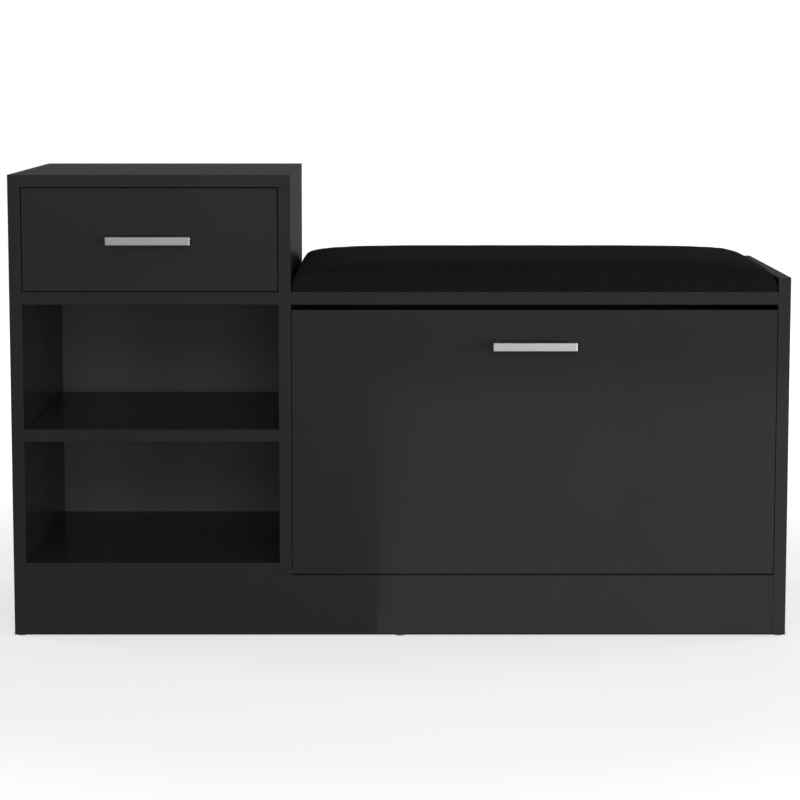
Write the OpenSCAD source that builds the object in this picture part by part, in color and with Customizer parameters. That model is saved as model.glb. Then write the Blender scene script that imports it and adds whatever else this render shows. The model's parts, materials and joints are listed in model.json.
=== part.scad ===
// Entryway bench: a drawer tower with two open cubbies beside an upholstered seat
// over a tilt-out shoe flap. Millimetres, +Z up, +X to the right seen from the front,
// the front faces -Y, origin at the bottom centre of the bounding box, on the floor.

/* [Carcass] */
// Width over the two side panels
width = 1005; // [960:5:1060]
// Depth from the front edges to the outside of the back
depth = 350; // [340:5:380]
// Height of the tower, from the underside of the panels to the top face
height = 600; // [580:5:640]
// Thickness of the laminated boards
board = 16; // [16:1:18]
// Ease taken off the boards' edges
edge_ease = 0.3; // [0.2:0.1:0.6]
// Thickness of the hardboard backs and of the drawer bottom
hardboard = 3; // [3:0.5:4]
// Height of the plinth
plinth_h = 79; // [70:1:90]

/* [Tower] */
// Clear width between the left side panel and the divider
tower_clear = 330; // [310:5:350]
// Underside of the cubby shelf above the underside of the panels
shelf_z = 254.5; // [230:0.5:280]

/* [Seat] */
// Top face of the seat board above the underside of the panels
seat_h = 449; // [440:1:460]
// Rise of the right side panel above the seat board
arm_rise = 19; // [15:1:30]
// Height of the seat pad's edges above the seat board
pad_edge = 17; // [14:1:20]
// Height of the seat pad's crown above the seat board
pad_crown = 39; // [35:1:45]

/* [Drawer] */
// Gap around the drawer front
reveal = 1.25; // [1.25:0.25:2]
// Length of the drawer box behind its front
drawer_len = 300; // [290:5:305]
// Height of the drawer box
drawer_h = 90; // [85:5:100]

/* [Flap] */
// Gap at each end of the flap
flap_end_gap = 0.7; // [0.7:0.1:2]
// Gap above the flap
flap_top_gap = 7; // [6:0.5:9]
// Gap between the plinth and the flap
flap_foot_gap = 1.75; // [1.75:0.25:3]
// Angle that the flap opens through
flap_open = 45; // [40:1:48]

/* [Handles] */
// Distance between a handle's two screws
handle_pitch = 96; // [64:32:128]
// Length of a handle
handle_len = 108; // [106:1:110]
// Height of a handle's bar
handle_h = 10; // [8:1:12]
// Reach of a handle in front of the boards
handle_reach = 26; // [24:1:30]
// Radius of the two posts that carry a handle's bar
post_r = 3.5; // [3.25:0.25:4.5]

/* [Hidden] */
$fn = 48;
glide_h = 2;
glide_r = 7.5;
front_y = -(depth - handle_reach) / 2;
carcass_d = depth - hardboard;

// Places along X: the inner faces of the three panels
left_in = -width / 2 + board;
div_l = left_in + tower_clear;
div_r = div_l + board;
right_in = width / 2 - board;

// Heights above the underside of the panels
deck_z = seat_h - board;
panel_top = height - board;

// Cam joints: a cam in the board, a bolt through the board's end into the panel beside it
cam_r = 7.4;
cam_hole_r = 7.5;
cam_h = 12.2;
cam_hole_h = 12.5;
cam_set = 24;
bolt_r = 3.4;
bolt_shank_r = 2.6;
bolt_hole_r = 3.5;
bolt_way_r = 4;
bolt_bite = 11;
dowel_r = 3.95;
dowel_hole_r = 4;
dowel_in_panel = 10.5;
dowel_in_board = 19.5;
tower_cam_y = [50, 297];
tower_dowel_y = [84, 263];
bench_cam_y = [68, 315];
bench_dowel_y = [102, 281];
top_cam_y = [66, 281];
top_dowel_y = [98, 249];
plinth_cam_z = 30;
plinth_dowel_z = 56;

// Drawer
box_t = 12;
box_z = seat_h + 9;
runner_gap = 12.5;
side_l = left_in + runner_gap;
side_r = div_l - runner_gap;
groove = 4;
groove_z = box_z + 10;
drawer_z0 = seat_h + reveal;
drawer_z1 = panel_top - reveal;
drawer_mid_x = (left_in + div_l) / 2;
box_cam_r = 5.9;
box_cam_h = 9;
box_cam_z = [box_z + 30, box_z + 70];

// Roller runners, as distances from the panel's face and about the rollers' centre height
rail_t = 1.2;
rail_half = 9;
rail_z = box_z + rail_half;
rail_y0 = 20;
rail_len = drawer_len;
roller_r = 7.7;
roller_bore_r = 2.55;
axle_r = 2.5;
roller_x = 3;
roller_w = 7;
front_roller_y = 30;
rear_roller_y = board + drawer_len - 12;
rail_screw_y = [62, 170, 290];
slide_screw_y = [60, 200];
slide_screw_z = box_z + 4.5;

// Flap and its tilt-out rack; rack distances are taken about the pivot
flap_z0 = plinth_h + flap_foot_gap;
flap_z1 = deck_z - flap_top_gap;
flap_l = div_r + flap_end_gap;
flap_r = right_in - flap_end_gap;
flap_mid_x = (div_r + right_in) / 2;
flap_handle_z = flap_z1 - 45;
pivot_y = board / 2;
pivot_z = plinth_h + 24.5;
pin_r = 3;
bush_r = 5;
bush_bore_r = 3.05;
bush_depth = 10;
bracket_r = deck_z - pivot_z - 12;
bracket_t = 4;
bracket_gap = 2.5;
bracket_foot = -5;
rim_w = 6;
rim_t = 8;
flange_w = 16;
flange_t = 3;
rack_l = div_r + bracket_gap + bracket_t;
rack_r = right_in - bracket_gap - bracket_t;
tray_lean = 12;
tray_t = 10;
stop_at = 150;
stop_angle = 75;
stop_r = 4;
stop_slot_r = 4.3;
bench_floor_y = board + 17;

// Boards of the rack: distance behind the pivot, height above it, thickness and length,
// in the leaning frame of the trays
front_sole = [52, 0, tray_t, 180];
front_lip = [62, 0, 78, tray_t];
rear_sole = [148, -16, tray_t, 230];
rear_lip = [158, -16, 78, tray_t];
rack_boards = [front_sole, front_lip, rear_sole, rear_lip];
// Each board's two screws at either end, in the same frame
rack_screw_at = [
    [57, 30], [57, 150], [80, 5], [120, 5],
    [153, 20], [153, 180], [175, -11], [215, -11]
];
rack_screw_r = 1.8;
bracket_screw_z = [60, 160, 260];

// Seat pad
pad_gap = 1;
cover_t = 1.2;
pad_board_t = 9;
pad_power = 6;
pad_ease = 0.6;
pad_cols = 20;
pad_rows = 12;
pad_mid_x = flap_mid_x;
pad_mid_y = carcass_d / 2;
pad_half = [(right_in - div_r) / 2 - pad_gap, carcass_d / 2];
pad_screw_x = [div_r + 60, flap_mid_x, right_in - 60];
pad_screw_y = [60, 290];

// ---------- shared shapes ----------

// Puts a piece drawn from the front edges and the underside of the panels in its place
module place() {
    translate([0, front_y, glide_h]) children();
}

// A box given by its lowest and highest corner
module span(low, high) {
    translate(low) cube(high - low);
}

// A corner point of an eased board: x, y and z are 0 or 1, and the point lies on the face across axis k
function eased_point(low, high, c, k) =
    [for (i = [0:2]) (c[i] == 1 ? high[i] : low[i]) + (i == k ? 0 : (1 - 2 * c[i]) * edge_ease)];

function eased_index(c, k) = 3 * (4 * c[0] + 2 * c[1] + c[2]) + k;

// The corner with value t on axis k, a on the next axis and b on the one after
function turned(k, t, a, b) = k == 0 ? [t, a, b] : k == 1 ? [b, t, a] : [a, b, t];

function flipped(list, yes) = yes ? [for (i = [len(list) - 1:-1:0]) list[i]] : list;

// A board from low to high with all its edges eased
module eased(low, high) {
    corners = [for (x = [0, 1], y = [0, 1], z = [0, 1]) [x, y, z]];
    sides = [for (k = [0:2], t = [0, 1]) flipped(
        [for (q = [[0, 0], [1, 0], [1, 1], [0, 1]]) eased_index(turned(k, t, q[0], q[1]), k)],
        t == 1
    )];
    edges = [for (k = [0:2], a = [0, 1], b = [0, 1]) flipped(
        [
            eased_index(turned(k, 0, a, b), (k + 1) % 3),
            eased_index(turned(k, 1, a, b), (k + 1) % 3),
            eased_index(turned(k, 1, a, b), (k + 2) % 3),
            eased_index(turned(k, 0, a, b), (k + 2) % 3)
        ],
        a != b
    )];
    tips = [for (c = corners) flipped(
        [for (k = [0:2]) eased_index(c, k)],
        (c[0] + c[1] + c[2]) % 2 == 1
    )];
    polyhedron(
        points = [for (c = corners, k = [0:2]) eased_point(low, high, c, k)],
        faces = concat(sides, edges, tips)
    );
}

// A rod along X from x0 to x1
module rod_x(x0, x1, y, z, r) {
    translate([min(x0, x1), y, z]) rotate([0, 90, 0]) cylinder(h = abs(x1 - x0), r = r);
}

// A rod along Y from y0 to y1
module rod_y(x, y0, y1, z, r) {
    translate([x, max(y0, y1), z]) rotate([90, 0, 0]) cylinder(h = abs(y1 - y0), r = r);
}

// A rod along Z from z0 to z1
module rod_z(x, y, z0, z1, r) {
    translate([x, y, min(z0, z1)]) cylinder(h = abs(z1 - z0), r = r);
}

// Repeats its children at the left end of a span and mirrored at its right end
module both_ends(x_left, x_right) {
    translate([x_left, 0, 0]) children();
    translate([x_right, 0, 0]) mirror([1, 0, 0]) children();
}

// ---------- cam joints, drawn at a left end: the panel's face is X = 0, the board is beyond ----------

// What a cam joint and its dowels remove from the board
module board_joint_cut(z0, cam_y, dowel_y) {
    for (y = cam_y) {
        rod_z(cam_set, y, z0 - 1, z0 + cam_hole_h, cam_hole_r);
        rod_x(-1, cam_set, y, z0 + board / 2, bolt_way_r);
    }
    for (y = dowel_y) rod_x(-1, dowel_in_board + 0.5, y, z0 + board / 2, dowel_hole_r);
}

// What they remove from the panel
module panel_joint_cut(z0, cam_y, dowel_y) {
    for (y = cam_y) rod_x(-bolt_bite - 0.5, 1, y, z0 + board / 2, bolt_hole_r);
    for (y = dowel_y) rod_x(-dowel_in_panel - 0.5, 1, y, z0 + board / 2, dowel_hole_r);
}

// A cam standing on its back at the origin, mouth down, its bolt arriving along -X
module cam(r, h, bolt_z) {
    difference() {
        cylinder(h = h, r = r);
        rod_x(-r - 1, 2 * bolt_r - 2, 0, bolt_z, bolt_way_r - 0.1);
        span([-3.5, -0.6, -1], [3.5, 0.6, 1.6]);
        span([-0.6, -3.5, -1], [0.6, 3.5, 1.6]);
    }
}

// A bolt along +X from the panel's face at the origin, its head inside the cam
module cam_bolt(reach) {
    rod_x(-bolt_bite, 0, 0, 0, bolt_r);
    rod_x(-0.01, reach - 2, 0, 0, bolt_shank_r);
    rod_x(reach - 2.01, reach + 1.5, 0, 0, bolt_r);
}

module dowel_along_x() {
    rod_x(-dowel_in_panel, dowel_in_board, 0, 0, dowel_r);
}

// Heights of the boards' undersides on either side of the divider
tower_boards = [plinth_h, shelf_z, deck_z];
bench_boards = [plinth_h, deck_z];

// Repeats its children at each cam of the boards: X = 0 at the panel, Z = 0 at the underside
module at_board_cams() {
    for (z = tower_boards, y = tower_cam_y)
        both_ends(left_in, div_l) translate([0, y, z]) children();
    for (z = bench_boards, y = bench_cam_y)
        both_ends(div_r, right_in) translate([0, y, z]) children();
}

// The same for the dowels
module at_board_dowels() {
    for (z = tower_boards, y = tower_dowel_y)
        both_ends(left_in, div_l) translate([0, y, z]) children();
    for (z = bench_boards, y = bench_dowel_y)
        both_ends(div_r, right_in) translate([0, y, z]) children();
}

// The tower top's joints: mouth of each cam on the panel's tower face, bolt upwards
module at_top_cams() {
    for (y = top_cam_y)
        both_ends(left_in, div_l)
            translate([0, y, panel_top - cam_set]) rotate([0, 90, 0]) mirror([0, 0, 1]) children();
}

// The plinth's joints, one at each end, mouth to the rear
module at_plinth_cams() {
    both_ends(left_in, right_in)
        translate([0, board, plinth_cam_z]) rotate([90, 0, 0]) children();
}

// ---------- panels ----------

// What the joints of the boards on its right remove from a panel whose face is at x
module cuts_right_of(x, boards, cam_y, dowel_y) {
    translate([x, 0, 0]) for (z = boards) panel_joint_cut(z, cam_y, dowel_y);
}

module cuts_left_of(x, boards, cam_y, dowel_y) {
    translate([x, 0, 0]) mirror([1, 0, 0]) for (z = boards) panel_joint_cut(z, cam_y, dowel_y);
}

// What the tower top's joints remove from a panel whose tower face is at x
module top_joint_cut(x, into) {
    for (y = top_cam_y) {
        rod_x(x - into, x + into * cam_hole_h, y, panel_top - cam_set, cam_hole_r);
        rod_z(x + into * board / 2, y, panel_top - cam_set, panel_top + 1, bolt_way_r);
    }
    for (y = top_dowel_y)
        rod_z(x + into * board / 2, y, panel_top - dowel_in_board - 0.5, panel_top + 1, dowel_hole_r);
}

// Screw holes of one cabinet rail in the panel whose face is at x
module rail_screw_cut(x, into) {
    for (y = rail_screw_y) rod_x(x - into, x + into * 12.5, y, rail_z, 1.75);
}

// The flap's bush and stop in the panel whose face is at x
module flap_pivot_cut(x, into) {
    rod_x(x - into, x + into * (bush_depth + 0.1), pivot_y, pivot_z, bush_r + 0.02);
    rod_x(x - into, x + into * 8.1, stop_point()[0], stop_point()[1], stop_r + 0.02);
}

function stop_point() =
    [pivot_y + stop_at * cos(stop_angle), pivot_z + stop_at * sin(stop_angle)];

// The plinth's bolt and dowel holes in the side panel whose face is at x
module plinth_joint_cut(x, into) {
    rod_x(x - into, x + into * (bolt_bite + 0.5), board / 2, plinth_cam_z, bolt_hole_r);
    rod_x(x - into, x + into * (dowel_in_panel + 0.5), board / 2, plinth_dowel_z, dowel_hole_r);
}

module left_side_panel() {
    color("#2b2b2c") place() difference() {
        eased([left_in - board, 0, 0], [left_in, carcass_d, panel_top]);
        cuts_right_of(left_in, tower_boards, tower_cam_y, tower_dowel_y);
        top_joint_cut(left_in, -1);
        rail_screw_cut(left_in, -1);
        plinth_joint_cut(left_in, -1);
    }
}

module divider_panel() {
    color("#2b2b2c") place() difference() {
        eased([div_l, 0, 0], [div_r, carcass_d, panel_top]);
        span([div_l - 1, -1, -1], [div_r + 1, board, plinth_h]);
        cuts_left_of(div_l, tower_boards, tower_cam_y, tower_dowel_y);
        cuts_right_of(div_r, bench_boards, bench_cam_y, bench_dowel_y);
        top_joint_cut(div_l, 1);
        rail_screw_cut(div_l, 1);
        flap_pivot_cut(div_r, -1);
    }
}

module right_side_panel() {
    color("#2b2b2c") place() difference() {
        eased([right_in, 0, 0], [right_in + board, carcass_d, seat_h + arm_rise]);
        cuts_left_of(right_in, bench_boards, bench_cam_y, bench_dowel_y);
        flap_pivot_cut(right_in, 1);
        plinth_joint_cut(right_in, 1);
    }
}

// ---------- boards ----------

module tower_top() {
    color("#2b2b2c") place() difference() {
        eased([left_in - board, 0, panel_top], [div_r, depth, height]);
        both_ends(left_in, div_l) {
            for (y = top_cam_y)
                rod_z(-board / 2, y, panel_top - 1, panel_top + bolt_bite + 0.5, bolt_hole_r);
            for (y = top_dowel_y)
                rod_z(-board / 2, y, panel_top - 1, panel_top + dowel_in_panel + 0.5, dowel_hole_r);
        }
    }
}

// A board between two panels, from y0 back, with a cam joint at each end
module fixed_board(x0, x1, y0, z0, cam_y, dowel_y) {
    difference() {
        eased([x0, y0, z0], [x1, carcass_d, z0 + board]);
        both_ends(x0, x1) board_joint_cut(z0, cam_y, dowel_y);
    }
}

module tower_board(z0) {
    fixed_board(left_in, div_l, 0, z0, tower_cam_y, tower_dowel_y);
}

module drawer_deck() {
    color("#2b2b2c") place() tower_board(deck_z);
}

module cubby_shelf() {
    color("#2b2b2c") place() tower_board(shelf_z);
}

module tower_bottom() {
    color("#2b2b2c") place() tower_board(plinth_h);
}

module bench_bottom() {
    color("#2b2b2c") place()
        fixed_board(div_r, right_in, bench_floor_y, plinth_h, bench_cam_y, bench_dowel_y);
}

module seat_board() {
    color("#2b2b2c") place() difference() {
        fixed_board(div_r, right_in, 0, deck_z, bench_cam_y, bench_dowel_y);
        for (x = pad_screw_x, y = pad_screw_y) {
            rod_z(x, y, deck_z - 1, seat_h + 1, 2.1);
            rod_z(x, y, deck_z - 1, deck_z + 2.5, 4.05);
        }
    }
}

module plinth() {
    color("#2b2b2c") place() difference() {
        eased([left_in, 0, 0], [right_in, board, plinth_h]);
        at_plinth_cams() {
            translate([cam_set, 0, -1]) cylinder(h = cam_hole_h + 1, r = cam_hole_r);
            rod_x(-1, cam_set, 0, board / 2, bolt_way_r);
        }
        both_ends(left_in, right_in)
            rod_x(-1, dowel_in_board + 0.5, board / 2, plinth_dowel_z, dowel_hole_r);
    }
}

module tower_back() {
    color("#30302f") place()
        span([left_in - board + 1.5, carcass_d, plinth_h], [div_r - board / 2 - 0.5, depth, panel_top]);
}

module bench_back() {
    color("#30302f") place()
        span([div_r - board / 2 + 0.5, carcass_d, plinth_h], [right_in + board - 1.5, depth, seat_h]);
}

// ---------- fasteners of the carcass ----------

module cam_locks() {
    color("silver") place() {
        at_board_cams() translate([cam_set, 0, 0.1]) cam(cam_r, cam_h, board / 2 - 0.1);
        at_top_cams() translate([0, 0, 0.1]) cam(cam_r, cam_h, board / 2 - 0.1);
        at_plinth_cams() translate([cam_set, 0, 0.1]) cam(cam_r, cam_h, board / 2 - 0.1);
    }
}

module cam_bolts() {
    color("silver") place() {
        at_board_cams() translate([0, 0, board / 2]) cam_bolt(cam_set);
        at_plinth_cams() translate([0, 0, board / 2]) cam_bolt(cam_set);
        both_ends(left_in, div_l)
            for (y = top_cam_y)
                translate([-board / 2, y, panel_top]) rotate([0, 90, 0]) cam_bolt(cam_set);
    }
}

module dowels() {
    color("tan") place() {
        at_board_dowels() translate([0, 0, board / 2]) dowel_along_x();
        both_ends(left_in, div_l)
            for (y = top_dowel_y)
                translate([-board / 2, y, panel_top]) rotate([0, 90, 0]) dowel_along_x();
        both_ends(left_in, right_in) translate([0, board / 2, plinth_dowel_z]) dowel_along_x();
    }
}

// A nail through the back at x, z, its head flush with the back's face
module back_nail(x, z) {
    rod_y(x, depth - 15, depth - 0.5, z, 0.7);
    rod_y(x, depth - 0.6, depth, z, 1.75);
}

module back_nails() {
    tower_edge_x = [left_in - board / 2, div_r - board * 0.75];
    bench_edge_x = [div_r - board / 4, right_in + board / 2];
    color("gray") place() {
        for (x = tower_edge_x, i = [0:4]) back_nail(x, plinth_h + 35 + i * 105);
        for (x = bench_edge_x, i = [0:3]) back_nail(x, plinth_h + 30 + i * 103);
        for (z = tower_boards, t = [0.25, 0.75])
            back_nail(left_in + t * tower_clear, z + board / 2);
        for (z = bench_boards, t = [0.2:0.2:0.8])
            back_nail(div_r + t * (right_in - div_r), z + board / 2);
    }
}

// A nail-on glide under a board at x, y
module glide(x, y) {
    translate([x, y, -glide_h]) cylinder(h = glide_h, r1 = glide_r - 1.5, r2 = glide_r);
    rod_z(x, y, -0.01, 12, 1);
}

module floor_glides() {
    color("gray") place() {
        for (x = [left_in - board / 2, right_in + board / 2], y = [10, carcass_d - 12]) glide(x, y);
        glide(div_r - board / 2, carcass_d - 12);
        glide(0, board / 2);
    }
}

// ---------- seat pad ----------

// Places along a half-side, closer together near the edges, from -1 to 1
function eased(i, n) = sin(90 * (2 * i / n - 1));
function dome(t) = pow(max(0, 1 - pow(abs(t), pad_power)), pad_ease);

// Points of a crowned surface, inset by t on every side
function crown_points(t) = [
    for (j = [0:pad_rows], i = [0:pad_cols])
        let (u = eased(i, pad_cols), v = eased(j, pad_rows))
        [
            pad_mid_x + u * (pad_half[0] - t),
            pad_mid_y + v * (pad_half[1] - t),
            seat_h + pad_edge - t + (pad_crown - pad_edge) * dome(u) * dome(v)
        ]
];

// The ring of grid positions round the edge, anticlockwise seen from above
function ring() = concat(
    [for (i = [0:pad_cols - 1]) i],
    [for (j = [0:pad_rows - 1]) j * (pad_cols + 1) + pad_cols],
    [for (i = [pad_cols:-1:1]) pad_rows * (pad_cols + 1) + i],
    [for (j = [pad_rows:-1:1]) j * (pad_cols + 1)]
);
function lowered(points, z) = [for (k = ring()) [points[k][0], points[k][1], z]];

// Triangles of the grid that starts at point a, seen from above or from below
function grid_faces(a, up) = [
    for (j = [0:pad_rows - 1], i = [0:pad_cols - 1], half = [0, 1])
        let (
            p = a + j * (pad_cols + 1) + i,
            q = p + pad_cols + 1,
            tri = half == 0 ? [p, q, p + 1] : [p + 1, q, q + 1]
        )
        up ? tri : [tri[2], tri[1], tri[0]]
];

// Triangles between two closed rings of n points, given as lists of point numbers
function ring_faces(upper, lower) = [
    for (k = [0:len(upper) - 1], half = [0, 1])
        let (m = (k + 1) % len(upper))
        half == 0 ? [upper[k], upper[m], lower[k]] : [upper[m], lower[m], lower[k]]
];
function shifted(list, a) = [for (k = list) k + a];
function counted(n, a) = [for (k = [0:n - 1]) k + a];

module pad_board() {
    inset = cover_t + 0.1;
    color("tan") place() difference() {
        span(
            [pad_mid_x - pad_half[0] + inset, inset, seat_h],
            [pad_mid_x + pad_half[0] - inset, carcass_d - inset, seat_h + pad_board_t]
        );
        for (x = pad_screw_x, y = pad_screw_y) rod_z(x, y, seat_h - 1, seat_h + 7.5, 2.02);
    }
}

module pad_foam() {
    top = crown_points(cover_t + 0.1);
    n = len(top);
    color("khaki") place() polyhedron(
        points = concat(top, [for (p = top) [p[0], p[1], seat_h + pad_board_t]]),
        faces = concat(
            grid_faces(0, true),
            ring_faces(ring(), shifted(ring(), n)),
            grid_faces(n, false)
        )
    );
}

module pad_cover() {
    outer = crown_points(0);
    outer_base = lowered(outer, seat_h);
    inner = crown_points(cover_t);
    inner_base = lowered(inner, seat_h);
    n = len(outer);
    m = len(outer_base);
    outer_foot = counted(m, n);
    inner_foot = counted(m, 2 * n + m);
    color("#191919") place() polyhedron(
        points = concat(outer, outer_base, inner, inner_base),
        faces = concat(
            grid_faces(0, true),
            ring_faces(ring(), outer_foot),
            ring_faces(outer_foot, inner_foot),
            ring_faces(inner_foot, shifted(ring(), n + m)),
            grid_faces(n + m, false)
        )
    );
}

module pad_screws() {
    color("silver") place() for (x = pad_screw_x, y = pad_screw_y) {
        rod_z(x, y, deck_z, deck_z + 2.4, 4);
        rod_z(x, y, deck_z + 2.39, seat_h + 7, 2);
    }
}

// ---------- handles ----------

// A bar handle round the origin of the front face, a bar on two slim posts
module bar_handle() {
    corner = 1;
    bar_t = 6;
    difference() {
        union() {
            translate([0, 0, -handle_h / 2]) linear_extrude(handle_h) difference() {
                translate([-handle_len / 2, -handle_reach]) square([handle_len, bar_t]);
                for (side = [-1, 1]) difference() {
                    translate([side * handle_len / 2, -handle_reach])
                        square(2 * corner, center = true);
                    translate([side * (handle_len / 2 - corner), -handle_reach + corner])
                        circle(r = corner);
                }
            }
            for (side = [-1, 1])
                rod_y(side * handle_pitch / 2, -handle_reach + bar_t - 1, 0, 0, post_r);
        }
        for (side = [-1, 1]) rod_y(side * handle_pitch / 2, -handle_reach + 12, 1, 0, 2.02);
    }
}

// Its two screws, heads behind a board
module handle_screws() {
    for (side = [-1, 1]) {
        rod_y(side * handle_pitch / 2, -11, board + 0.01, 0, 2);
        rod_y(side * handle_pitch / 2, board, board + 2.4, 0, 4);
    }
}

module handle_holes() {
    for (side = [-1, 1]) rod_y(side * handle_pitch / 2, -1, board + 1, 0, 2.25);
}

module at_drawer_handle() {
    translate([drawer_mid_x, 0, (drawer_z0 + drawer_z1) / 2]) children();
}

module at_flap_handle() {
    translate([flap_mid_x, 0, flap_handle_z]) children();
}

module drawer_handle() {
    color("gainsboro") place() at_drawer_handle() bar_handle();
}

module drawer_handle_screws() {
    color("silver") place() at_drawer_handle() handle_screws();
}

module flap_handle() {
    color("gainsboro") place() at_flap_handle() bar_handle();
}

module flap_handle_screws() {
    color("silver") place() at_flap_handle() handle_screws();
}

// ---------- drawer ----------

// The hardboard bottom's outline, grown by a clearance for its grooves
module bottom_span(play) {
    span(
        [side_l + box_t - groove - play, board - groove - play, groove_z - play],
        [side_r - box_t + groove + play, board + drawer_len, groove_z + hardboard + play]
    );
}

module drawer_front() {
    color("#2b2b2c") place() difference() {
        eased([left_in + reveal, 0, drawer_z0], [div_l - reveal, board, drawer_z1]);
        bottom_span(0.1);
        at_drawer_handle() handle_holes();
        both_ends(side_l, side_r)
            for (z = box_cam_z)
                rod_y(box_t / 2, board - bolt_bite - 0.5, board + 1, z, bolt_hole_r);
    }
}

// The left side of the box, drawn with its outer face at X = 0
module drawer_side() {
    difference() {
        eased([0, board, box_z], [box_t, board + drawer_len, box_z + drawer_h]);
        translate([-side_l, 0, 0]) bottom_span(0.1);
        for (z = box_cam_z) {
            rod_x(box_t - box_cam_h - 0.3, box_t + 1, board + cam_set, z, box_cam_r + 0.1);
            rod_y(box_t / 2, board - 1, board + cam_set + 2, z, bolt_way_r);
        }
        for (y = slide_screw_y) rod_x(-1, 9.5, y, slide_screw_z, 1.75);
        for (z = box_cam_z) {
            rod_x(-1, 2.1, board + drawer_len - box_t / 2, z, 3.55);
            rod_x(-1, box_t + 1, board + drawer_len - box_t / 2, z, 1.85);
        }
    }
}

module drawer_side_left() {
    color("#2b2b2c") place() translate([side_l, 0, 0]) drawer_side();
}

module drawer_side_right() {
    color("#2b2b2c") place() translate([side_r, 0, 0]) mirror([1, 0, 0]) drawer_side();
}

module drawer_rear() {
    y1 = board + drawer_len;
    color("#2b2b2c") place() difference() {
        span(
            [side_l + box_t, y1 - box_t, groove_z + hardboard + 0.1],
            [side_r - box_t, y1, box_z + drawer_h]
        );
        both_ends(side_l, side_r)
            for (z = box_cam_z) rod_x(0, 36, y1 - box_t / 2, z, 1.85);
    }
}

module drawer_bottom() {
    color("#30302f") place() bottom_span(0);
}

module drawer_cams() {
    color("silver") place() both_ends(side_l, side_r)
        for (z = box_cam_z)
            translate([box_t - 0.1, board + cam_set, z]) rotate([0, -90, 0]) rotate([0, 0, 90])
                cam(box_cam_r, box_cam_h, box_t / 2 - 0.1);
}

module drawer_cam_bolts() {
    color("silver") place() both_ends(side_l, side_r)
        for (z = box_cam_z)
            translate([box_t / 2, board, z]) rotate([0, 0, 90]) cam_bolt(cam_set);
}

module drawer_box_screws() {
    color("silver") place() both_ends(side_l, side_r)
        for (z = box_cam_z) {
            rod_x(0, 2, board + drawer_len - box_t / 2, z, 3.5);
            rod_x(1.99, 35, board + drawer_len - box_t / 2, z, 1.8);
        }
}

// ---------- roller runners, drawn at the left: the panel's face is X = 0 ----------

module at_runners() {
    both_ends(left_in, div_l) children();
}

module cabinet_rail() {
    y1 = rail_y0 + rail_len;
    difference() {
        union() {
            span([0, rail_y0, rail_z - rail_half], [rail_t, y1, rail_z + rail_half]);
            span([0, rail_y0, rail_z - rail_half], [10, y1, rail_z - rail_half + rail_t]);
            span([0, rail_y0, rail_z + rail_half - rail_t], [5.2, y1, rail_z + rail_half]);
        }
        for (y = rail_screw_y) rod_x(-1, rail_t + 1, y, rail_z, 3.05);
    }
    rod_x(rail_t - 0.1, roller_x + roller_w + 0.2, front_roller_y, rail_z, axle_r);
    rod_x(roller_x + roller_w + 0.1, roller_x + roller_w + 0.9, front_roller_y, rail_z, 3.5);
}

module cabinet_rail_left() {
    color("lightgray") place() translate([left_in, 0, 0]) cabinet_rail();
}

module cabinet_rail_right() {
    color("lightgray") place() translate([div_l, 0, 0]) mirror([1, 0, 0]) cabinet_rail();
}

module cabinet_rail_screws() {
    color("silver") place() at_runners() for (y = rail_screw_y) {
        rod_x(0, rail_t, y, rail_z, 3);
        rod_x(-12, 0.01, y, rail_z, 1.7);
    }
}

module drawer_rail() {
    y0 = board + 1;
    y1 = board + drawer_len;
    web = runner_gap - rail_t;
    top = rail_z + rail_half;
    difference() {
        union() {
            span([web, y0, box_z - rail_t], [runner_gap, y1, top]);
            span([web, y0, box_z - rail_t], [runner_gap + 10, y1, box_z]);
            span([6, y0, top - rail_t], [runner_gap, y1, top]);
        }
        for (y = slide_screw_y) rod_x(web - 1, runner_gap + 1, y, slide_screw_z, 3.05);
    }
    rod_x(roller_x - 0.2, web + 0.1, rear_roller_y, rail_z, axle_r);
    rod_x(roller_x - 0.9, roller_x - 0.1, rear_roller_y, rail_z, 3.5);
}

module drawer_rail_left() {
    color("lightgray") place() translate([left_in, 0, 0]) drawer_rail();
}

module drawer_rail_right() {
    color("lightgray") place() translate([div_l, 0, 0]) mirror([1, 0, 0]) drawer_rail();
}

module drawer_rail_screws() {
    color("silver") place() at_runners() for (y = slide_screw_y) {
        rod_x(runner_gap - rail_t, runner_gap, y, slide_screw_z, 3);
        rod_x(runner_gap - 0.01, runner_gap + 9, y, slide_screw_z, 1.7);
    }
}

// A nylon roller at y
module roller(y) {
    difference() {
        rod_x(roller_x, roller_x + roller_w, y, rail_z, roller_r);
        rod_x(roller_x - 1, roller_x + roller_w + 1, y, rail_z, roller_bore_r);
    }
}

module front_roller_left() {
    color("white") place() translate([left_in, 0, 0]) roller(front_roller_y);
}

module front_roller_right() {
    color("white") place() translate([div_l, 0, 0]) mirror([1, 0, 0]) roller(front_roller_y);
}

module rear_roller_left() {
    color("white") place() translate([left_in, 0, 0]) roller(rear_roller_y);
}

module rear_roller_right() {
    color("white") place() translate([div_l, 0, 0]) mirror([1, 0, 0]) roller(rear_roller_y);
}

// ---------- flap and rack ----------

module at_pivot() {
    translate([0, pivot_y, pivot_z]) children();
}

// The leaning frame of the trays: Y behind the pivot, Z above it
module at_trays() {
    at_pivot() rotate([tray_lean, 0, 0]) children();
}

module flap_front() {
    color("#2b2b2c") place() difference() {
        eased([flap_l, 0, flap_z0], [flap_r, board, flap_z1]);
        at_flap_handle() handle_holes();
        both_ends(flap_l, flap_r) at_pivot() rod_x(-1, 25.1, 0, 0, pin_r + 0.02);
        both_ends(rack_l, rack_r) at_pivot()
            for (z = bracket_screw_z) rod_y(flange_w / 2, -pivot_y + 3.5, pivot_y + 1, z, 1.75);
    }
}

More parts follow.
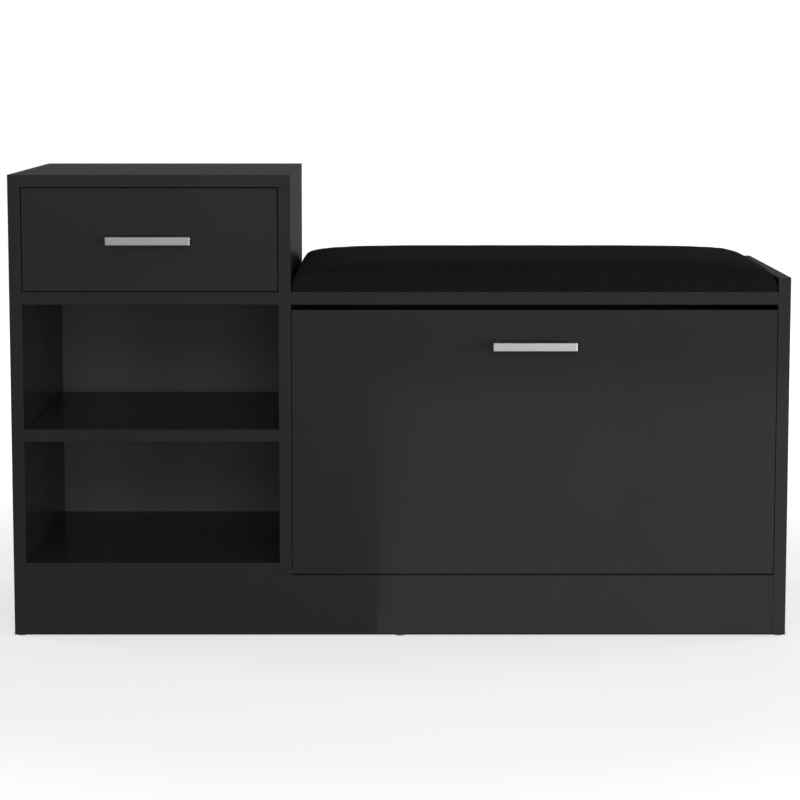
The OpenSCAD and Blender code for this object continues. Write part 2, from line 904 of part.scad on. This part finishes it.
module pivot_pins() {
    color("silver") place() both_ends(flap_l, flap_r) at_pivot()
        rod_x(-flap_end_gap - bush_depth + 1, 25, 0, 0, pin_r);
}

module pivot_bushes() {
    color("dimgray") place() both_ends(div_r, right_in) at_pivot() difference() {
        union() {
            rod_x(-bush_depth, 0.01, 0, 0, bush_r);
            rod_x(0, 0.5, 0, 0, bush_r + 2);
        }
        rod_x(-bush_depth - 1, 2, 0, 0, bush_bore_r);
    }
}

module stop_pins() {
    color("dimgray") place() both_ends(div_r, right_in)
        rod_x(-8, bracket_gap + bracket_t - 0.3, stop_point()[0], stop_point()[1], stop_r);
}

// A quarter disc about the pivot, from behind the flap to just below the pivot's height
module quarter(r) {
    intersection() {
        circle(r = r);
        translate([pivot_y, bracket_foot]) square([r, r + 10]);
    }
}

// The arc that the stop pin runs in, as the bracket sees it
module stop_slot() {
    low = stop_angle - flap_open;
    intersection() {
        difference() {
            circle(r = stop_at + stop_slot_r);
            circle(r = stop_at - stop_slot_r);
        }
        polygon([
            [0, 0],
            [2 * stop_at * cos(low), 2 * stop_at * sin(low)],
            [2 * stop_at * cos(stop_angle), 2 * stop_at * sin(stop_angle)]
        ]);
    }
    for (a = [low, stop_angle])
        translate([stop_at * cos(a), stop_at * sin(a)]) circle(r = stop_slot_r);
}

// Stands a shape drawn in the plane of Y and Z upright, t thick along X
module upright(t) {
    rotate([90, 0, 90]) linear_extrude(t) children();
}

// The left bracket, its outer face at X = 0
module rack_bracket() {
    difference() {
        union() {
            at_pivot() {
                upright(bracket_t) quarter(bracket_r);
                upright(rim_t) difference() {
                    quarter(bracket_r);
                    circle(r = bracket_r - rim_w);
                }
            }
            span(
                [0, board, pivot_z + 10],
                [bracket_t + flange_w, board + flange_t, pivot_z + 280]
            );
        }
        at_pivot() translate([-1, 0, 0]) upright(bracket_t + 2) stop_slot();
        at_pivot() for (z = bracket_screw_z)
            rod_y(bracket_t + flange_w / 2, 0, board + 5, z, 2);
        at_trays() for (p = rack_screw_at) {
            rod_x(-1, 2.1, p[0], p[1], 3.55);
            rod_x(-1, bracket_t + 1, p[0], p[1], 2);
        }
    }
}

module rack_bracket_left() {
    color("#202020") place() translate([rack_l - bracket_t, 0, 0]) rack_bracket();
}

module rack_bracket_right() {
    color("#202020") place() translate([rack_r + bracket_t, 0, 0]) mirror([1, 0, 0]) rack_bracket();
}

// One board of the rack, with its screw holes
module rack_board(b) {
    place() at_trays() difference() {
        eased([rack_l + 0.05, b[0], b[1]], [rack_r - 0.05, b[0] + b[2], b[1] + b[3]]);
        for (p = rack_screw_at)
            both_ends(rack_l, rack_r) rod_x(-1, 21, p[0], p[1], rack_screw_r + 0.05);
    }
}

module front_tray_sole() {
    color("#2b2b2c") rack_board(front_sole);
}

module front_tray_lip() {
    color("#2b2b2c") rack_board(front_lip);
}

module rear_tray_sole() {
    color("#2b2b2c") rack_board(rear_sole);
}

module rear_tray_lip() {
    color("#2b2b2c") rack_board(rear_lip);
}

module rack_screws() {
    color("silver") place() at_trays() both_ends(rack_l, rack_r)
        for (p = rack_screw_at) {
            rod_x(-bracket_t, -bracket_t + 2, p[0], p[1], 3.5);
            rod_x(-bracket_t + 1.99, 20, p[0], p[1], rack_screw_r);
        }
}

module bracket_screws() {
    color("silver") place() both_ends(rack_l, rack_r) at_pivot()
        for (z = bracket_screw_z) {
            rod_y(flange_w / 2, -pivot_y + 4, board + flange_t - pivot_y + 0.01, z, 1.7);
            rod_y(flange_w / 2, board + flange_t - pivot_y, board + flange_t - pivot_y + 2, z, 3.2);
        }
}

// ---------- the nodes ----------

left_side_panel();
divider_panel();
right_side_panel();
tower_top();
drawer_deck();
cubby_shelf();
tower_bottom();
bench_bottom();
seat_board();
plinth();
tower_back();
bench_back();
cam_locks();
cam_bolts();
dowels();
back_nails();
floor_glides();
pad_board();
pad_foam();
pad_cover();
pad_screws();
drawer_front();
drawer_side_left();
drawer_side_right();
drawer_rear();
drawer_bottom();
drawer_cams();
drawer_cam_bolts();
drawer_box_screws();
drawer_handle();
drawer_handle_screws();
cabinet_rail_left();
cabinet_rail_right();
cabinet_rail_screws();
drawer_rail_left();
drawer_rail_right();
drawer_rail_screws();
front_roller_left();
front_roller_right();
rear_roller_left();
rear_roller_right();
flap_front();
flap_handle();
flap_handle_screws();
rack_bracket_left();
rack_bracket_right();
front_tray_sole();
front_tray_lip();
rear_tray_sole();
rear_tray_lip();
rack_screws();
bracket_screws();
pivot_pins();
pivot_bushes();
stop_pins();
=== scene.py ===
import json
import math

import bmesh
import bpy
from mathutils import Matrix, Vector, noise


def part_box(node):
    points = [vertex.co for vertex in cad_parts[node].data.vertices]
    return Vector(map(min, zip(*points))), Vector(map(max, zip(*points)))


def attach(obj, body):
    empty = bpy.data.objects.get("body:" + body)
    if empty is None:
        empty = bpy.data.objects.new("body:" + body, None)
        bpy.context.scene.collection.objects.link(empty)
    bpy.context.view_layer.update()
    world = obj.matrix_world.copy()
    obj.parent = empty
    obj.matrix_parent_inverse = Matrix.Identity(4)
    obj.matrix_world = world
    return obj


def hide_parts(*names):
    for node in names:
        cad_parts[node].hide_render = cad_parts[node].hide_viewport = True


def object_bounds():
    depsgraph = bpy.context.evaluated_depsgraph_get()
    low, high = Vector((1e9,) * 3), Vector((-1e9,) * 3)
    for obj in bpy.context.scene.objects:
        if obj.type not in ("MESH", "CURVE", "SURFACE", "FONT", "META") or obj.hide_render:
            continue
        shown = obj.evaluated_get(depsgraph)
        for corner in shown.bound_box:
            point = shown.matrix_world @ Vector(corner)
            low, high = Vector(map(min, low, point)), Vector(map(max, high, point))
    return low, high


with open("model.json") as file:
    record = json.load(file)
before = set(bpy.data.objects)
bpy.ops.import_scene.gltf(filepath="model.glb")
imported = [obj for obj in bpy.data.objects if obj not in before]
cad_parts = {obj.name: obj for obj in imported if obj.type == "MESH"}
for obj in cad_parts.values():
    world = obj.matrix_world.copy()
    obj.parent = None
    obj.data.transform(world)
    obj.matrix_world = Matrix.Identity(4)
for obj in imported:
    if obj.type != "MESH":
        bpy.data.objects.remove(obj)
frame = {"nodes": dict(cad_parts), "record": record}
cad_low, cad_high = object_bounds()
scene = bpy.context.scene


# ---------- materials ----------


def material(name, color, rough, metallic=0.0, specular=0.5):
    """A new material with its node tree, and its Principled shader."""
    m = bpy.data.materials.new(name)
    m.use_nodes = True
    m.diffuse_color = (*color, 1)
    tree = m.node_tree
    p = tree.nodes["Principled BSDF"]
    p.inputs["Base Color"].default_value = (*color, 1)
    p.inputs["Roughness"].default_value = rough
    p.inputs["Metallic"].default_value = metallic
    p.inputs["Specular IOR Level"].default_value = specular
    return m, tree, p


def place(tree, scale=(1, 1, 1)):
    """The piece's own coordinates in metres, multiplied by scale."""
    coords = tree.nodes.new("ShaderNodeTexCoord")
    mapping = tree.nodes.new("ShaderNodeMapping")
    mapping.inputs["Scale"].default_value = scale
    tree.links.new(coords.outputs["Object"], mapping.inputs["Vector"])
    return mapping.outputs["Vector"]


def noise_at(tree, vector, scale, detail=4.0, roughness=0.5):
    """A noise value at the vector, with about scale features a metre."""
    n = tree.nodes.new("ShaderNodeTexNoise")
    n.inputs["Scale"].default_value = scale
    n.inputs["Detail"].default_value = detail
    n.inputs["Roughness"].default_value = roughness
    tree.links.new(vector, n.inputs["Vector"])
    return n.outputs["Fac"]


def spread(tree, value, low, high, from_low=0.3, from_high=0.7):
    """value, from from_low to from_high, laid out from low to high."""
    r = tree.nodes.new("ShaderNodeMapRange")
    r.inputs["From Min"].default_value = from_low
    r.inputs["From Max"].default_value = from_high
    r.inputs["To Min"].default_value = low
    r.inputs["To Max"].default_value = high
    tree.links.new(value, r.inputs["Value"])
    return r.outputs["Result"]


def maths(tree, operation, *values):
    """A math node's result, from numbers and other nodes' outputs."""
    m = tree.nodes.new("ShaderNodeMath")
    m.operation = operation
    for socket, value in zip(m.inputs, values):
        if isinstance(value, (int, float)):
            socket.default_value = value
        else:
            tree.links.new(value, socket)
    return m.outputs["Value"]


def blend_colors(tree, fac, a, b):
    """A colour that goes from a to b as fac goes from 0 to 1."""
    mix = tree.nodes.new("ShaderNodeMix")
    mix.data_type = "RGBA"
    tree.links.new(fac, mix.inputs["Factor"])
    mix.inputs["A"].default_value = (*a, 1)
    mix.inputs["B"].default_value = (*b, 1)
    return mix.outputs["Result"]


def bumped(tree, p, height, distance, strength=1.0, edge=0.0):
    """Feeds a bump to the shader, over edges rounded by edge metres."""
    b = tree.nodes.new("ShaderNodeBump")
    b.inputs["Strength"].default_value = strength
    b.inputs["Distance"].default_value = distance
    tree.links.new(height, b.inputs["Height"])
    if edge:
        e = tree.nodes.new("ShaderNodeBevel")
        e.samples = 6
        e.inputs["Radius"].default_value = edge
        tree.links.new(e.outputs["Normal"], b.inputs["Normal"])
    tree.links.new(b.outputs["Normal"], p.inputs["Normal"])


def laminate():
    """Black melamine: a fine pearl grain and a slightly uneven satin gloss under a thin smoother skin."""
    m, t, p = material("black_laminate", (0.0188, 0.0188, 0.0190), 0.42, specular=0.12)
    v = place(t)
    cloud = noise_at(t, v, 7, 3)
    grain = noise_at(t, v, 1500, 2, 0.6)
    t.links.new(
        blend_colors(t, spread(t, cloud, 0, 1), (0.0181, 0.0181, 0.0184), (0.0195, 0.0195, 0.0197)),
        p.inputs["Base Color"],
    )
    t.links.new(spread(t, noise_at(t, v, 38, 5), 0.39, 0.46), p.inputs["Roughness"])
    p.inputs["Coat Weight"].default_value = 0.45
    p.inputs["Coat Roughness"].default_value = 0.11
    bumped(t, p, grain, 0.00003, 0.35, edge=0.0004)
    return m


def hardboard():
    """Hardboard, painted black, its tone set lighter than the laminate's as painted light on the cubby
    backs: smooth with faint fibres and pits.
    """
    # base tone about 2.7 times the laminate's: painted light for the backs of the cubbies
    m, t, p = material("black_hardboard", (0.050, 0.050, 0.0505), 0.6, specular=0.15)
    v = place(t)
    fibres = noise_at(t, place(t, (900, 260, 260)), 1, 4, 0.7)
    cloud = noise_at(t, v, 11, 4)
    t.links.new(
        blend_colors(t, spread(t, cloud, 0, 1), (0.048, 0.048, 0.0485), (0.052, 0.052, 0.0525)),
        p.inputs["Base Color"],
    )
    t.links.new(spread(t, fibres, 0.44, 0.58), p.inputs["Roughness"])
    bumped(t, p, fibres, 0.00008, 0.4, edge=0.0004)
    return m


def chips():
    """Bare particle board: pale and dark flakes pressed together."""
    m, t, p = material("bare_board", (0.50, 0.36, 0.22), 0.8, specular=0.2)
    v = place(t, (1, 1, 1.8))
    cell = t.nodes.new("ShaderNodeTexVoronoi")
    cell.inputs["Scale"].default_value = 420
    t.links.new(v, cell.inputs["Vector"])
    grey = t.nodes.new("ShaderNodeSeparateColor")
    t.links.new(cell.outputs["Color"], grey.inputs["Color"])
    t.links.new(
        blend_colors(t, grey.outputs["Red"], (0.36, 0.24, 0.13), (0.62, 0.47, 0.30)),
        p.inputs["Base Color"],
    )
    bumped(t, p, grey.outputs["Red"], 0.0003, 0.5)
    return m


def beech():
    """Beech dowels: pale wood with fine lines along them."""
    m, t, p = material("beech", (0.62, 0.44, 0.27), 0.6, specular=0.3)
    lines = noise_at(t, place(t, (40, 700, 700)), 1, 3)
    t.links.new(
        blend_colors(t, spread(t, lines, 0, 1), (0.52, 0.35, 0.20), (0.68, 0.50, 0.32)),
        p.inputs["Base Color"],
    )
    bumped(t, p, lines, 0.0001, 0.4)
    return m


def cast_zinc():
    """Die-cast zinc: grey metal with a grainy skin."""
    m, t, p = material("cast_zinc", (0.50, 0.50, 0.51), 0.45, 1.0)
    v = place(t)
    skin = noise_at(t, v, 900, 4, 0.6)
    t.links.new(spread(t, skin, 0.36, 0.58), p.inputs["Roughness"])
    bumped(t, p, skin, 0.0001, 0.5, edge=0.0003)
    return m


def zinc_plate():
    """Zinc-plated steel: bright, with faint yellow and blue spots."""
    m, t, p = material("zinc_plate", (0.62, 0.62, 0.64), 0.3, 1.0)
    v = place(t)
    spots = noise_at(t, v, 260, 3)
    t.links.new(
        blend_colors(t, spread(t, spots, 0, 1), (0.55, 0.56, 0.60), (0.68, 0.67, 0.64)),
        p.inputs["Base Color"],
    )
    t.links.new(spread(t, noise_at(t, v, 1400, 2), 0.24, 0.38), p.inputs["Roughness"])
    bumped(t, p, spots, 0.00005, 0.3, edge=0.0003)
    return m


def rail_coat():
    """Grey epoxy powder coat on pressed steel."""
    m, t, p = material("rail_coat", (0.24, 0.24, 0.24), 0.42, specular=0.4)
    v = place(t)
    peel = noise_at(t, v, 700, 3)
    t.links.new(
        blend_colors(t, spread(t, noise_at(t, v, 30, 3), 0, 1), (0.22, 0.22, 0.22), (0.26, 0.26, 0.255)),
        p.inputs["Base Color"],
    )
    t.links.new(spread(t, peel, 0.36, 0.48), p.inputs["Roughness"])
    bumped(t, p, peel, 0.00006, 0.4, edge=0.0004)
    return m


def satin_nickel():
    """Brushed along the bar, with a soft sheen."""
    m, t, p = material("satin_nickel", (0.90, 0.90, 0.89), 0.38, 1.0)
    strokes = noise_at(t, place(t, (30, 5200, 5200)), 1, 3, 0.6)
    t.links.new(
        blend_colors(t, spread(t, strokes, 0, 1), (0.87, 0.87, 0.865), (0.92, 0.92, 0.915)),
        p.inputs["Base Color"],
    )
    t.links.new(spread(t, strokes, 0.32, 0.44), p.inputs["Roughness"])
    bumped(t, p, strokes, 0.00003, 0.3, edge=0.0008)
    return m


def plastic(name, color, rough):
    """Moulded plastic with a fine textured skin."""
    m, t, p = material(name, color, rough, specular=0.4)
    v = place(t)
    skin = noise_at(t, v, 1100, 3, 0.6)
    lighter = tuple(min(1, c * 1.12) for c in color)
    darker = tuple(c * 0.88 for c in color)
    cloud = noise_at(t, v, 25, 3)
    t.links.new(blend_colors(t, spread(t, cloud, 0, 1), darker, lighter), p.inputs["Base Color"])
    t.links.new(spread(t, skin, rough - 0.06, rough + 0.08), p.inputs["Roughness"])
    bumped(t, p, skin, 0.0001, 0.4, edge=0.0004)
    return m


def foam():
    """Open-celled cushion foam."""
    m, t, p = material("foam", (0.72, 0.66, 0.45), 0.95, specular=0.1)
    cells = noise_at(t, place(t), 1600, 2, 0.7)
    t.links.new(
        blend_colors(t, spread(t, cells, 0, 1), (0.62, 0.56, 0.37), (0.76, 0.70, 0.50)),
        p.inputs["Base Color"],
    )
    bumped(t, p, cells, 0.0004, 0.6)
    return m


def cloth():
    """Close-woven black cloth: crossed yarns, slubs and a soft matt sheen."""
    m, t, p = material("seat_cloth", (0.0088, 0.0088, 0.0089), 0.9, specular=0.03)
    v = place(t)
    waves = []
    for axis in ("X", "Y"):
        w = t.nodes.new("ShaderNodeTexWave")
        w.bands_direction = axis
        w.inputs["Scale"].default_value = 300
        w.inputs["Distortion"].default_value = 1.2
        w.inputs["Detail"].default_value = 2
        w.inputs["Detail Scale"].default_value = 2
        t.links.new(v, w.inputs["Vector"])
        waves.append(w.outputs["Fac"])
    weave = maths(t, "MULTIPLY", *waves)
    slub = noise_at(t, v, 60, 5, 0.7)
    worn = maths(t, "ADD", spread(t, slub, 0, 0.7), maths(t, "MULTIPLY", weave, 0.6))
    t.links.new(
        blend_colors(t, worn, (0.0062, 0.0062, 0.0063), (0.0106, 0.0105, 0.0106)),
        p.inputs["Base Color"],
    )
    t.links.new(spread(t, slub, 0.82, 0.94), p.inputs["Roughness"])
    p.inputs["Sheen Weight"].default_value = 0.01
    p.inputs["Sheen Roughness"].default_value = 0.5
    bumped(t, p, weave, 0.0003, 0.6)
    return m


looks = {
    "laminate": laminate(),
    "hardboard": hardboard(),
    "bare_board": chips(),
    "beech": beech(),
    "zinc_cast": cast_zinc(),
    "zinc_steel": zinc_plate(),
    "rail_steel": rail_coat(),
    "satin_nickel": satin_nickel(),
    "nylon": plastic("white_nylon", (0.78, 0.78, 0.76), 0.45),
    "black_plastic": plastic("black_plastic", (0.018, 0.018, 0.018), 0.5),
    "glide_plastic": plastic("grey_plastic", (0.33, 0.33, 0.34), 0.55),
    "foam": foam(),
    "upholstery": cloth(),
}
for part in frame["record"]["subparts"]:
    node = frame["nodes"][part["node"]]
    node.data.materials.clear()
    node.data.materials.append(looks[part["material_slot"]])


# ---------- seat cushion ----------


COLS, ROWS = 84, 48  # the grid of the cushion's top and underside
CROWN = 0.0223  # the rise of the top above the wall's upper ring
DRAWN_IN = 0.0014  # how far the middles of the sides are pulled in
DRAWN_FROM, DRAWN_OVER = 0.008, 0.008  # the pull starts at this height and grows over this one
PINNED = 0.0105  # the cloth is held below this height
FRAMES = 16  # length of the simulation
LOOSEST = 0.0012  # the furthest that the simulation may move a point
LUMPS = ((9, 9, 3.1, 0.0006), (26, 30, 7.7, 0.00025))  # waves a metre in x and y, layer, height
WALL = (  # down the sides: height above the pad's foot, inset from its box, corner radius
    (0.0165, 0.0014, 0.0065),
    (0.0150, 0.0008, 0.0060),
    (0.0125, 0.0004, 0.0045),
    (0.0098, 0.0003, 0.0030),
    (0.0065, 0.0002, 0.0025),
    (0.0035, 0.0002, 0.0025),
    (0.0012, 0.0002, 0.0025),
    (0.0004, 0.0002, 0.0025),
    (0.0001, 0.0002, 0.0025),
)


def swell(d):
    """How full the padding is at d metres from an edge: a tight roll, then a long slow rise."""
    return 1 - 0.66 * math.exp(-d / 0.0048) - 0.34 * math.exp(-d / 0.040)


def seat_cushion():
    """A crowned closed form whose sides pull in between its corners, in the box of the pad's cover."""
    low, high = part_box("pad_cover")
    mid = (low + high) / 2
    hx, hy = (high.x - low.x) / 2, (high.y - low.y) / 2
    bm = bmesh.new()

    def spaced(i, n):
        """Place i of n from -1 to 1, closer together towards the ends."""
        t = 2 * i / n - 1
        return math.copysign(1 - (1 - abs(t)) ** 1.7, t)

    def plan(u, v, inset, corner, pull):
        """The point of the rounded outline's grid, with the middles of the sides drawn in by pull."""
        ax, ay = hx - inset, hy - inset
        x, y = u * ax, v * ay
        a, b = (abs(x) - ax + corner) / corner, (abs(y) - ay + corner) / corner
        if a > 0 and b > 0:
            k = max(a, b) / math.hypot(a, b)
            x = math.copysign(ax - corner + corner * a * k, x)
            y = math.copysign(ay - corner + corner * b * k, y)
        x *= 1 - pull / hx * (1 - v * v) * u * u
        y *= 1 - pull / hy * (1 - u * u) * v * v
        return mid.x + x, mid.y + y

    def sheet(height, inset, corner, crown):
        """A whole grid of points at the height, raised to the crown in the middle."""
        grid = []
        for j in range(ROWS + 1):
            line = []
            for i in range(COLS + 1):
                u, v = spaced(i, COLS), spaced(j, ROWS)
                x, y = plan(u, v, inset, corner, drawn(height))
                dx, dy = hx - inset - abs(x - mid.x), hy - inset - abs(y - mid.y)
                z = low.z + height + crown * swell(max(0, dx)) * swell(max(0, dy))
                line.append(bm.verts.new((x, y, z)))
            grid.append(line)
        return grid

    def rim(grid):
        """The points of a grid along its outline, once round."""
        turn = grid[0][:-1] + [line[-1] for line in grid[:-1]]
        return turn + grid[-1][:0:-1] + [line[0] for line in grid[:0:-1]]

    def drawn(height):
        """How far the middles of the sides are pulled in at the height."""
        return DRAWN_IN * max(0, min(1, (height - DRAWN_FROM) / DRAWN_OVER)) ** 2

    top, bottom = sheet(*WALL[0], CROWN), sheet(*WALL[-1], 0)
    for grid, up in ((top, True), (bottom, False)):
        for j in range(ROWS):
            for i in range(COLS):
                quad = (grid[j][i], grid[j][i + 1], grid[j + 1][i + 1], grid[j + 1][i])
                bm.faces.new(quad if up else quad[::-1])
    places = [(spaced(i, COLS), spaced(j, ROWS)) for i, j in outline(COLS, ROWS)]
    last = rim(top)
    for height, inset, corner in WALL[1:-1]:
        ring = [bm.verts.new((*plan(u, v, inset, corner, drawn(height)), low.z + height)) for u, v in places]
        join(bm, last, ring)
        last = ring
    join(bm, last, rim(bottom))
    mesh = bpy.data.meshes.new("seat_cushion")
    bm.to_mesh(mesh)
    bm.free()
    ob = bpy.data.objects.new("seat_cushion", mesh)
    scene.collection.objects.link(ob)
    return ob, low, high


def outline(cols, rows):
    """The grid places along the outline, in the order of rim."""
    yield from ((i, 0) for i in range(cols))
    yield from ((cols, j) for j in range(rows))
    yield from ((i, rows) for i in range(cols, 0, -1))
    yield from ((0, j) for j in range(rows, 0, -1))


def join(bm, upper, lower):
    """Closes the wall between two rings with the same number of points."""
    for i in range(len(upper)):
        k = (i + 1) % len(upper)
        bm.faces.new((lower[i], lower[k], upper[k], upper[i]))


cushion, pad_low, pad_high = seat_cushion()

start = [v.co.copy() for v in cushion.data.vertices]
pins = cushion.vertex_groups.new(name="pins")
pins.add([v.index for v in cushion.data.vertices if v.co.z < pad_low.z + PINNED], 1.0, "REPLACE")
sim = cushion.modifiers.new("cloth", "CLOTH")
sim.settings.quality = 6
sim.settings.mass = 0.3
sim.settings.tension_stiffness = 25
sim.settings.compression_stiffness = 25
sim.settings.shear_stiffness = 10
sim.settings.bending_stiffness = 1.2
sim.settings.use_pressure = True
sim.settings.uniform_pressure_force = 1.5
sim.settings.vertex_group_mass = "pins"
sim.settings.effector_weights.gravity = 0
sim.point_cache.frame_start = 1
sim.point_cache.frame_end = FRAMES
for f in range(1, FRAMES + 1):
    scene.frame_set(f)
puffed = cushion.evaluated_get(bpy.context.evaluated_depsgraph_get())
moved = [v.co.copy() for v in puffed.data.vertices]
cushion.modifiers.remove(sim)
scene.frame_set(1)
for v, a, b in zip(cushion.data.vertices, start, moved, strict=True):
    step = b - a
    if step.length > LOOSEST:
        step = step.normalized() * LOOSEST
    v.co = a + step

for v in cushion.data.vertices:
    p = v.co.copy()
    height = (p.z - pad_low.z) / (pad_high.z - pad_low.z)
    soft = sum(noise.noise(Vector((p.x * a, p.y * b, layer))) * rise for a, b, layer, rise in LUMPS)
    v.co.z = min(pad_high.z, p.z + soft * max(0.0, min(1.0, height * 2)))
    v.co.x = min(max(p.x, pad_low.x), pad_high.x)
    v.co.y = min(max(p.y, pad_low.y), pad_high.y)
    v.co.z = max(v.co.z, pad_low.z + 0.0001)
for poly in cushion.data.polygons:
    poly.use_smooth = True
cushion.data.materials.append(looks["upholstery"])
smoother = cushion.modifiers.new("smooth", "SUBSURF")
smoother.levels = smoother.render_levels = 1
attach(cushion, "carcass")
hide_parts("pad_foam", "pad_cover")


# ---------- studio ----------

FLOOR_HALF = 9
GLOW = (0.62, 1.0)  # the floor's own light near the bench and far from it
GLOW_FROM, GLOW_TO = 0.7, 1.7  # how far from the bench it begins and ends to rise
PAINTED_SHADE_X = (cad_low.x - 0.007, cad_high.x + 0.007, 0.02)  # the painted glow starts to fade into painted shade there, over this much
PAINTED_SHADE_Y = (cad_low.y + 0.030, cad_high.y + 0.087, 0.05)  # the painted shade reaches as far back as the camera sees under the open flap


def pale_floor():
    """A matt floor with a painted white glow, faded out under the bench and close behind it as painted
    shade.
    """
    mesh = bpy.data.meshes.new("floor")
    bm = bmesh.new()
    bmesh.ops.create_grid(bm, x_segments=2, y_segments=2, size=FLOOR_HALF)
    bm.to_mesh(mesh)
    bm.free()
    ob = bpy.data.objects.new("floor", mesh)
    scene.collection.objects.link(ob)
    m, t, p = material("pale_floor", (0.5, 0.5, 0.5), 0.9, specular=0.0)
    p.inputs["Emission Color"].default_value = (1, 1, 1, 1)
    away = t.nodes.new("ShaderNodeVectorMath")
    away.operation = "LENGTH"
    t.links.new(place(t), away.inputs[0])
    glow = spread(t, away.outputs["Value"], *GLOW, GLOW_FROM, GLOW_TO)
    sides = t.nodes.new("ShaderNodeSeparateXYZ")
    t.links.new(place(t), sides.inputs[0])
    # a mask that cuts the glow to painted shade under the bench and just behind it
    outside_painted_shade = []
    for side, (low, high, fade) in zip(sides.outputs, (PAINTED_SHADE_X, PAINTED_SHADE_Y)):
        off = maths(t, "ABSOLUTE", maths(t, "SUBTRACT", side, (low + high) / 2))
        half = (high - low) / 2
        outside_painted_shade.append(spread(t, off, 0, 1, half - fade, half))
    # emission: painted glow, dimmer near the bench, with painted shade under and behind it
    t.links.new(maths(t, "MULTIPLY", glow, maths(t, "MAXIMUM", *outside_painted_shade)), p.inputs["Emission Strength"])
    cloud = noise_at(t, place(t), 3, 3)
    t.links.new(
        blend_colors(t, spread(t, cloud, 0, 1), (0.495, 0.495, 0.495), (0.505, 0.505, 0.505)),
        p.inputs["Base Color"],
    )
    ob.data.materials.append(m)
    ob.visible_glossy = False
    ob.visible_diffuse = False
    return ob


pale_floor()

world = bpy.data.worlds.new("studio")
scene.world = world
world.use_nodes = True
sky = world.node_tree
background = sky.nodes["Background"]
background.inputs["Color"].default_value = (1, 1, 1, 1)
# white where the camera sees it, dim as a source of light
rays = sky.nodes.new("ShaderNodeLightPath")
level = sky.nodes.new("ShaderNodeMapRange")
level.inputs["To Min"].default_value = 0.11
level.inputs["To Max"].default_value = 1.0
sky.links.new(rays.outputs["Is Camera Ray"], level.inputs["Value"])
sky.links.new(level.outputs["Result"], background.inputs["Strength"])


def softbox(name, place_at, look_at, size, power, diffuse=True, glossy=True):
    """A rectangular light, which the camera doesn't see."""
    data = bpy.data.lights.new(name, "AREA")
    data.shape = "RECTANGLE"
    data.size, data.size_y = size
    data.energy = power
    ob = bpy.data.objects.new(name, data)
    ob.location = place_at
    aim = Vector(look_at) - Vector(place_at)
    ob.rotation_euler = aim.to_track_quat("-Z", "Y").to_euler()
    ob.visible_camera = False
    ob.visible_diffuse = diffuse
    ob.visible_glossy = glossy
    scene.collection.objects.link(ob)


# place, the point it faces, width and height, watts
softbox("key", (2.35, -3.5, 0.48), (0, 0, 0.38), (1.1, 0.8), 27)
softbox("front", (0, -4.3, 0.55), (0, 0, 0.35), (2.2, 1.0), 58, glossy=False)
softbox("high", (0, -4.0, 1.75), (0, 0, 0.35), (2.4, 0.8), 39, glossy=False)
softbox("sheen", (0, -4.3, 1.15), (0, 0, 0.4), (2.6, 0.7), 11, diffuse=False)
softbox("side", (3.0, -1.8, 0.5), (-0.4, -0.1, 0.38), (1.0, 0.8), 22)
softbox("left", (-3.2, 0.9, 0.8), (0, 0, 0.35), (1.2, 1.0), 30, glossy=False)
softbox("right", (3.2, 0.9, 0.8), (0, 0, 0.35), (1.2, 1.0), 34, glossy=False)
softbox("over", (0.3, -2.4, 2.6), (-0.1, 0, 0.3), (2.4, 1.0), 11)
softbox("top", (0, 0, 3.0), (0, 0.1, 0), (3.0, 1.6), 7)
softbox("back", (0.6, 3.4, 1.3), (0, 0, 0.3), (2.4, 1.6), 34, glossy=False)
softbox("card", (0.77, -1.34, 0.003), (0.77, -1.34, 1), (1.6, 2.35), 5.3, diffuse=False)

# ---------- camera ----------

LOOKS_DOWN = 5.927  # degrees

camera_data = bpy.data.cameras.new("camera")
camera_data.sensor_width = 36
camera_data.lens = 102.06
camera_data.shift_y = -0.12
camera_data.clip_end = 100
camera = bpy.data.objects.new("camera", camera_data)
camera.location = (0, -3.062, 0.737)
camera.rotation_euler = (math.radians(90 - LOOKS_DOWN), 0, 0)
scene.collection.objects.link(camera)
scene.camera = camera
scene.view_settings.view_transform = "Standard"
